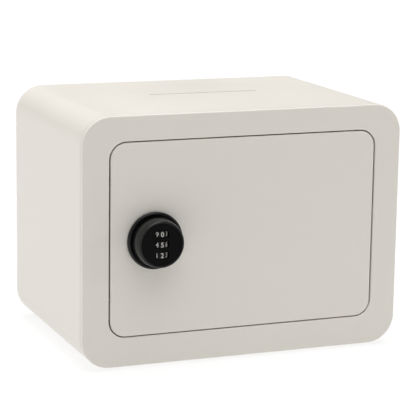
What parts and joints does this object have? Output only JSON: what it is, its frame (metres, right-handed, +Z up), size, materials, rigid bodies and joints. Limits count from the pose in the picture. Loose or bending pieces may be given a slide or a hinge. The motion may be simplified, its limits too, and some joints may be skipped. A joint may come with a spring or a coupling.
{
  "type": "insulated home safe",
  "caption": "Small front-opening insulated document safe with round edges, a flush door on hidden pins, a number-wheel knob that throws side bolts, and a deposit slot in the top.",
  "frame": {"origin": "middle of the object's overall box, knob included, on the surface that the feet stand on", "axes": "+X to the right as seen from the front, +Y from the door into the safe, +Z up"},
  "size_m": [0.35, 0.2666, 0.26],
  "materials": {
    "body_paint": "satin",
    "liner_paint": "satin",
    "zinc_steel": "satin",
    "bright_steel": "polished",
    "insulation_board": "matte",
    "seal_strip": "matte",
    "rubber": "matte",
    "felt": "matte",
    "black_plastic": "satin",
    "wheel_plastic": "satin",
    "nylon": "matte"
  },
  "bodies": {
    "cabinet": {"outer_shell": "body_paint", "front_frame": "body_paint", "back_panel": "body_paint", "inner_liner": "liner_paint", "insulation_top": "insulation_board", "insulation_base": "insulation_board", "insulation_left": "insulation_board", "insulation_right": "insulation_board", "insulation_back": "insulation_board", "deposit_chute": "zinc_steel", "deposit_baffle": "liner_paint", "floor_mat": "felt", "foot_front_left": "rubber", "foot_front_right": "rubber", "foot_rear_left": "rubber", "foot_rear_right": "rubber", "anchor_plug_base_left": "rubber", "anchor_plug_base_right": "rubber", "anchor_plug_back_left": "rubber", "anchor_plug_back_right": "rubber", "hinge_bracket_upper": "zinc_steel", "hinge_bracket_lower": "zinc_steel", "hinge_pin_upper": "bright_steel", "hinge_pin_lower": "bright_steel"},
    "door": {"door_face_plate": "body_paint", "door_pan": "body_paint", "door_insulation": "insulation_board", "door_inner_cover": "liner_paint", "door_seal": "seal_strip", "lock_plate": "zinc_steel", "knob_rose": "black_plastic", "hinge_knuckle_upper": "zinc_steel", "hinge_knuckle_lower": "zinc_steel", "bolt_bush_upper": "nylon", "bolt_bush_lower": "nylon", "rose_screw_upper": "zinc_steel", "rose_screw_lower": "zinc_steel", "cover_screw_upper_left": "zinc_steel", "cover_screw_upper_right": "zinc_steel", "cover_screw_lower_left": "zinc_steel", "cover_screw_lower_right": "zinc_steel"},
    "knob": {"knob_body": "black_plastic", "knob_face": "black_plastic", "wheel_axle": "bright_steel", "wheel_detent_spring": "bright_steel", "spindle": "bright_steel", "drive_cam": "zinc_steel", "spindle_washer": "zinc_steel", "spindle_nut": "zinc_steel"},
    "wheel_upper": {"number_wheel_upper": "wheel_plastic"},
    "wheel_middle": {"number_wheel_middle": "wheel_plastic"},
    "wheel_lower": {"number_wheel_lower": "wheel_plastic"},
    "bolt_carriage": {"bolt_bar": "zinc_steel", "locking_bolt_upper": "bright_steel", "locking_bolt_lower": "bright_steel", "bolt_rivet_upper": "zinc_steel", "bolt_rivet_lower": "zinc_steel"}
  },
  "joints": [
    {"name": "door_swing", "type": "hinge", "parent": "cabinet", "child": "door", "pos_m": [0.1195, -0.10065, 0.13365], "axis": [0, 0, 1], "range_deg": [0, 115]},
    {"name": "knob_turn", "type": "hinge", "parent": "door", "child": "knob", "pos_m": [-0.0988, -0.10965, 0.13235], "axis": [0, -1, 0], "range_deg": [0, 90]},
    {"name": "bolt_throw", "type": "slide", "parent": "door", "child": "bolt_carriage", "axis": [-1, 0, 0], "range_m": [0, 0.01556]},
    {"name": "wheel_upper_spin", "type": "hinge", "parent": "knob", "child": "wheel_upper", "pos_m": [-0.0988, -0.1246, 0.14305], "axis": [0, 0, 1], "continuous": true},
    {"name": "wheel_middle_spin", "type": "hinge", "parent": "knob", "child": "wheel_middle", "pos_m": [-0.0988, -0.1246, 0.13235], "axis": [0, 0, 1], "continuous": true},
    {"name": "wheel_lower_spin", "type": "hinge", "parent": "knob", "child": "wheel_lower", "pos_m": [-0.0988, -0.1246, 0.12165], "axis": [0, 0, 1], "continuous": true}
  ],
  "couplings": [
    {"joint": "knob_turn", "follows": "bolt_throw", "rad_per_m": 100.95}
  ]
}
